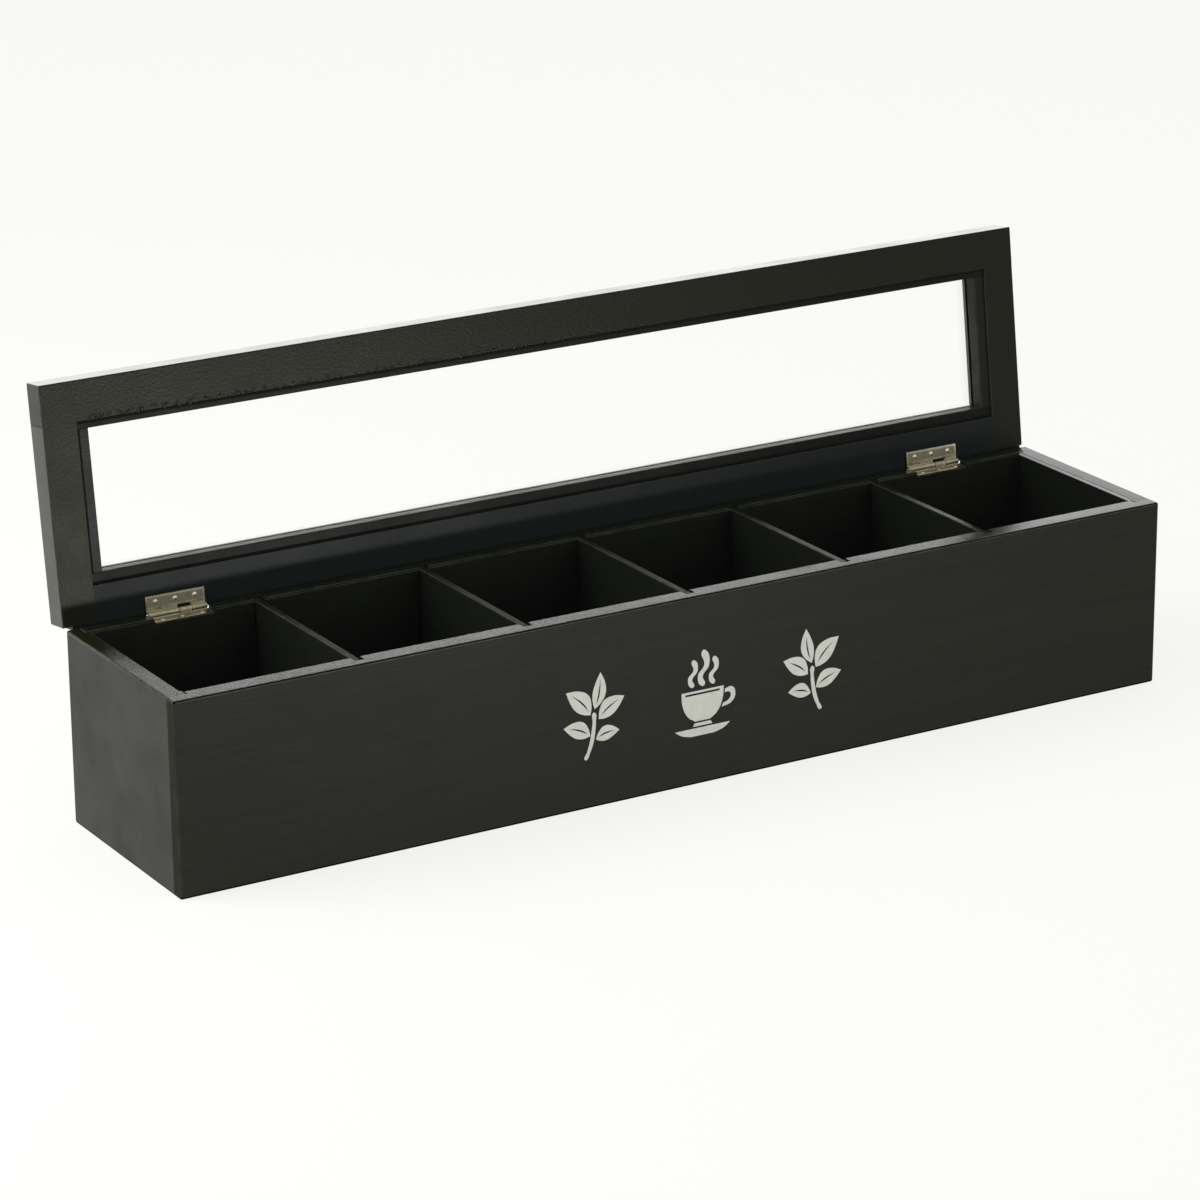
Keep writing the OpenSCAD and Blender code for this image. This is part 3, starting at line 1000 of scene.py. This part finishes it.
class TEABOX_OT_hinges(bpy.types.Operator):
    """Plate the hinge leaves, pins and screws"""

    bl_idname = "teabox.hinges"
    bl_label = "Hinges"

    def execute(self, context):
        finish = context.scene.teabox_finish
        leaf_plate = nickel_plate("brushed_nickel_plate", finish.nickel_colour)
        bright_plate = nickel_plate(
            "polished_nickel_plate", toned(finish.nickel_colour, 2.1), roughness=0.22, brushed=0.3,
        )
        for node, body in LEAVES.items():
            bm = merged_copy(node, body)
            # A box leaf has its stamped side above. With the lid shut, a lid leaf has it below
            side = -1 if body == "lid" else 1
            border = min(side * v.co.z for v in bm.verts) + LEAF_THICKNESS
            soften(bm, finish.leaf_edge, SHORTEST_LEAF_EDGE, outer_only=False, segments=2)
            # The raised border and the edges are rubbed bright
            paint_faces(bm, BRIGHT, lambda at, n: True, marked="worn_edge")
            paint_faces(
                bm, BRIGHT,
                lambda at, n: side * n.z > SQUARE and abs(side * at.z - border) < 0.05 * MM,
            )
            place(bm, node + "_plated", body, "hinge_nickel", (leaf_plate, bright_plate), node)
        for node in ("left_hinge_pin", "right_hinge_pin", "box_leaf_screws", "lid_leaf_screws"):
            data = frame["nodes"][node].data
            data.materials.clear()
            data.materials.append(bright_plate)
        return {"FINISHED"}


def flat_shape(name, outlines, half_thickness):
    """Fills closed outlines, an inner one being a hole, and returns the mesh."""
    curve = bpy.data.curves.new(name, "CURVE")
    curve.dimensions = "2D"
    curve.fill_mode = "BOTH"
    curve.resolution_u = 6
    curve.extrude = half_thickness
    for outline in outlines:
        spline = curve.splines.new("BEZIER")
        spline.bezier_points.add(len(outline) - 1)
        spline.use_cyclic_u = True
        for knot, (x, y, corner) in zip(spline.bezier_points, outline):
            knot.co = (x, y, 0)
            knot.handle_left_type = knot.handle_right_type = "VECTOR" if corner else "AUTO"
    drawn = new_object(name, curve)
    bpy.context.view_layer.update()
    depsgraph = bpy.context.evaluated_depsgraph_get()
    mesh = bpy.data.meshes.new_from_object(drawn.evaluated_get(depsgraph))
    bpy.data.objects.remove(drawn)
    bpy.data.curves.remove(curve)
    return mesh


class TEABOX_OT_front_print(bpy.types.Operator):
    """Print a tea sprig, a cup and a second sprig on the front board"""

    bl_idname = "teabox.front_print"
    bl_label = "Front Print"

    def execute(self, context):
        finish = context.scene.teabox_finish
        lo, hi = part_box("front_board")
        ink = printing_ink("pale_screen_print_ink", finish.print_colour)
        middle = (lo + hi) / 2 + PRINT_OFFSET
        scale = finish.motif_height / DRAWN_HEIGHT
        upright = Matrix.Rotation(math.radians(90), 4, "X")
        for place_in_row, name, outlines in (
            (-1, "left_sprig", sprig(1)), (0, "tea_cup", tea_cup()), (1, "right_sprig", sprig(-1)),
        ):
            mesh = flat_shape(name, outlines, finish.ink_thickness / 2 / scale)
            spot = Vector((
                middle.x + place_in_row * finish.motif_pitch,
                lo.y + finish.ink_thickness / 2,
                middle.z,
            ))
            bm = bmesh.new()
            bm.from_mesh(mesh)
            bpy.data.meshes.remove(mesh)
            bmesh.ops.remove_doubles(bm, verts=bm.verts, dist=WELD)
            placing = Matrix.Translation(spot) @ upright @ Matrix.Scale(scale, 4)
            bmesh.ops.transform(bm, matrix=placing, verts=bm.verts)
            place(bm, "print_" + name, "box", "front_print", (ink,), even=False)
        return {"FINISHED"}


# ---------------------------------------------------------------- motifs

# An outline is a closed row of knots: x and y in drawn millimetres, and True at a corner


def leaf(base, tip, width, bend=0.0):
    """Outlines a leaf, with its middle vein left open."""
    base, tip = Vector(base), Vector(tip)
    run = tip - base
    side = Vector((-run.y, run.x)).normalized()

    def at(along, across, corner=False):
        """A knot of the leaf, its middle line bent sideways."""
        p = base + run * along + side * (across + 4 * bend * along * (1 - along))
        return p.x, p.y, corner

    belly = ((0.16, 0.30), (0.42, 0.5), (0.72, 0.36))
    edge = [
        at(0, 0, True),
        *[at(along, share * width) for along, share in belly],
        at(1, 0, True),
        *[at(along, -share * width) for along, share in reversed(belly)],
    ]
    vein = [at(0.1, 0, True), at(0.35, 0.32), at(0.84, 0, True), at(0.35, -0.32)]
    return [edge, vein]


def stroke(points, width):
    """Outlines a tapering stroke through some points."""
    points = [Vector(p) for p in points]
    left, right = [], []
    for i, p in enumerate(points):
        ahead = points[min(i + 1, len(points) - 1)] - points[max(i - 1, 0)]
        side = Vector((-ahead.y, ahead.x)).normalized()
        half = 0.5 * width * (0.35 + 0.65 * math.sin(math.pi * (i + 0.5) / len(points)))
        left.append((*(p + side * half), False))
        right.append((*(p - side * half), False))
    return [left + right[::-1]]


def sprig(sign):
    """Draws two leaves and a bud on a stem, with two lower leaves, mirrored when sign is -1."""
    outlines = [
        *leaf((0.6, 2.6), (3.2, 16.75), 5.6, bend=-0.9),
        *leaf((-1.2, 0.6), (-11.6, 11.2), 7.6, bend=-1.2),
        *leaf((2.3, -1.6), (13.4, 5.6), 7.0, bend=1.0),
        *leaf((-1.4, -7.6), (-12.8, -2.6), 6.6, bend=-1.0),
        *leaf((1.0, -9.4), (11.2, -7.4), 5.8, bend=1.0),
        *stroke(
            [(0.3, 1.2), (0.35, -2.5), (-0.1, -6.5), (-0.9, -10.5), (-2.2, -14.0), (-3.6, -16.6)],
            1.7,
        ),
    ]
    return [[(sign * x, y, corner) for x, y, corner in outline] for outline in outlines]


def tea_cup():
    """Draws a cup with steam on a saucer."""
    bowl = [
        (-10.2, 1.2, True), (8.4, 1.2, True), (8.0, -3.6, False), (5.6, -8.6, False),
        (2.4, -10.9, True), (-4.2, -10.9, True), (-7.4, -8.6, False), (-9.8, -3.6, False),
    ]
    tea = [(-8.6, 0.35, True), (6.8, 0.35, True), (6.6, -0.45, True), (-8.4, -0.45, True)]
    handle = [
        (9.0, -0.2, True), (12.2, 0.1, False), (13.6, -2.6, False), (12.2, -5.8, False),
        (7.5, -7.2, True), (8.2, -5.7, True), (10.6, -4.8, False), (11.6, -2.9, False),
        (10.8, -1.7, False), (8.9, -1.7, True),
    ]
    foot = [(-4.4, -11.6, True), (2.6, -11.6, True), (3.4, -12.9, True), (-5.2, -12.9, True)]
    saucer = [
        (-13.2, -13.6, True), (11.4, -13.6, True), (8.4, -15.6, False),
        (4.2, -16.75, True), (-6.0, -16.75, True), (-10.2, -15.6, False),
    ]
    return [
        bowl, tea, handle, foot, saucer,
        *stroke([(-5.2, 3.0), (-6.4, 6.2), (-4.0, 9.4), (-5.0, 13.4)], 2.0),
        *stroke([(-0.6, 3.0), (-1.9, 6.8), (0.9, 10.8), (-0.4, 16.7)], 2.3),
        *stroke([(4.0, 3.0), (2.8, 6.2), (5.2, 9.4), (4.2, 13.4)], 2.0),
    ]


# ---------------------------------------------------------------- stage


def shown_rays(add):
    """Adds a node that is 1 where the surface is seen, mirrored or seen through glass."""
    path = add("ShaderNodeLightPath")
    seen = path.outputs["Is Camera Ray"]
    for other in ("Is Glossy Ray", "Is Transmission Ray"):
        seen = add("ShaderNodeMath", {0: seen, 1: path.outputs[other]}, operation="MAXIMUM")
    return seen


def light_room(scene, stage):
    """Lights the scene evenly and shows white wherever the room is seen."""
    world = bpy.data.worlds.new("white_room")
    add = emptied(world)
    strength = add("ShaderNodeMapRange", {
        "Value": shown_rays(add), **span(0.0, 1.0, stage.world_light),
    })
    light = add("ShaderNodeBackground", {
        "Color": rgba(stage.floor_colour), "Strength": strength,
    })
    add("ShaderNodeOutputWorld", {"Surface": light})
    scene.world = world


def lay_floor(stage):
    """Lays a wide pale floor that shows white and keeps the box's soft shadow."""
    material = bpy.data.materials.new("pale_paper_sweep")
    add = emptied(material)
    lit = add("ShaderNodeBsdfDiffuse", {"Color": rgba(stage.floor_colour, 0.95)})
    glow = add("ShaderNodeEmission", {"Color": rgba(stage.floor_colour, 0.99), "Strength": 1.0})
    seen = add("ShaderNodeMixShader", {0: SHADOW_SHARE, 1: glow, 2: lit})
    surface = add("ShaderNodeMixShader", {0: shown_rays(add), 1: lit, 2: seen})
    bm = bmesh.new()
    bmesh.ops.create_grid(bm, x_segments=2, y_segments=2, size=7.0)
    solid(bm, "floor", (shown(material, surface),))


def hang_lamps(stage):
    """Hangs soft lamps on the left and behind, and a low one for the lid's sheen."""
    # Name, place, the point it looks at, width and height in metres, and power
    for name, spot, aim, size, power in (
        ("left_lamp", (-0.8, 0.25, 0.6), (-0.15, 0.0, 0.05), (0.55, 0.55), stage.key_power),
        ("sheen_lamp", (0.2, -0.8, 0.01), (-0.2, 0.05, 0.01), (0.3, 0.016), stage.sheen_power),
        ("rim_panel", (0.98, 2.05, 0.66), (0.0, 0.0, 0.1), (1.9, 1.2), stage.rim_power),
    ):
        light = bpy.data.lights.new(name, "AREA")
        light.shape = "RECTANGLE"
        light.size, light.size_y = size
        light.energy = power
        lamp = new_object(name, light)
        lamp.location = spot
        lamp.rotation_mode = "QUATERNION"
        lamp.rotation_quaternion = (Vector(aim) - Vector(spot)).to_track_quat("-Z", "Y")
        lamp.visible_camera = False
        lamp.visible_diffuse = name == "left_lamp"
        lamp.visible_transmission = name != "sheen_lamp"


def place_camera(scene, stage):
    """Places the camera by its turn round the box, with its small tilt and offset."""
    a, e, r = stage.azimuth, stage.elevation, stage.roll
    level = Vector((math.cos(a), math.sin(a), 0))
    back = Vector((math.sin(a) * math.cos(e), -math.cos(a) * math.cos(e), math.sin(e)))
    up = back.cross(level)
    right = math.cos(r) * level + math.sin(r) * up
    upright = -math.sin(r) * level + math.cos(r) * up
    lens = bpy.data.cameras.new("camera")
    lens.sensor_fit = "HORIZONTAL"
    lens.sensor_width = 36
    lens.lens = stage.focal_length
    lens.clip_end = 50
    camera = new_object("camera", lens)
    to_the_right, upward = PICTURE_OFFSET
    camera.location = (
        VIEW_TARGET + back * stage.distance - right * to_the_right - upright * upward
    )
    turn = Matrix((right, upright, back)).transposed()
    camera.rotation_mode = "QUATERNION"
    camera.rotation_quaternion = turn.to_quaternion()
    scene.camera = camera


class TEABOX_OT_stage(bpy.types.Operator):
    """Set the floor, the room light, the lamps and the camera"""

    bl_idname = "teabox.stage"
    bl_label = "Stage"

    def execute(self, context):
        stage = context.scene.teabox_stage
        light_room(context.scene, stage)
        lay_floor(stage)
        hang_lamps(stage)
        place_camera(context.scene, stage)
        context.scene.view_settings.view_transform = "Standard"
        return {"FINISHED"}


class TEABOX_PT_panel(bpy.types.Panel):
    """Lists the steps that finish the tea box"""

    bl_idname = "TEABOX_PT_panel"
    bl_label = "Tea Box"
    bl_space_type = "VIEW_3D"
    bl_region_type = "UI"
    bl_category = "Tea Box"

    def draw(self, context):
        layout = self.layout
        for step in STEPS:
            layout.operator(step.bl_idname)
        for group in (context.scene.teabox_finish, context.scene.teabox_stage):
            box = layout.box()
            for name in group.__annotations__:
                box.prop(group, name)


STEPS = (
    TEABOX_OT_box_boards,
    TEABOX_OT_compartments,
    TEABOX_OT_lid_frame,
    TEABOX_OT_window_beads,
    TEABOX_OT_paint_drops,
    TEABOX_OT_window_glass,
    TEABOX_OT_hinges,
    TEABOX_OT_front_print,
    TEABOX_OT_stage,
)
CLASSES = (TeaBoxFinish, TeaBoxStage, *STEPS, TEABOX_PT_panel)


def register():
    """Registers the classes and hangs the settings on the scene."""
    for cls in CLASSES:
        bpy.utils.register_class(cls)
    bpy.types.Scene.teabox_finish = PointerProperty(type=TeaBoxFinish)
    bpy.types.Scene.teabox_stage = PointerProperty(type=TeaBoxStage)


def unregister():
    """Takes the settings and the classes away again."""
    del bpy.types.Scene.teabox_stage
    del bpy.types.Scene.teabox_finish
    for cls in reversed(CLASSES):
        bpy.utils.unregister_class(cls)


def main():
    """Makes the whole object in order."""
    register()
    for step in STEPS:
        group, name = step.bl_idname.split(".")
        getattr(getattr(bpy.ops, group), name)()


if __name__ == "__main__":
    main()
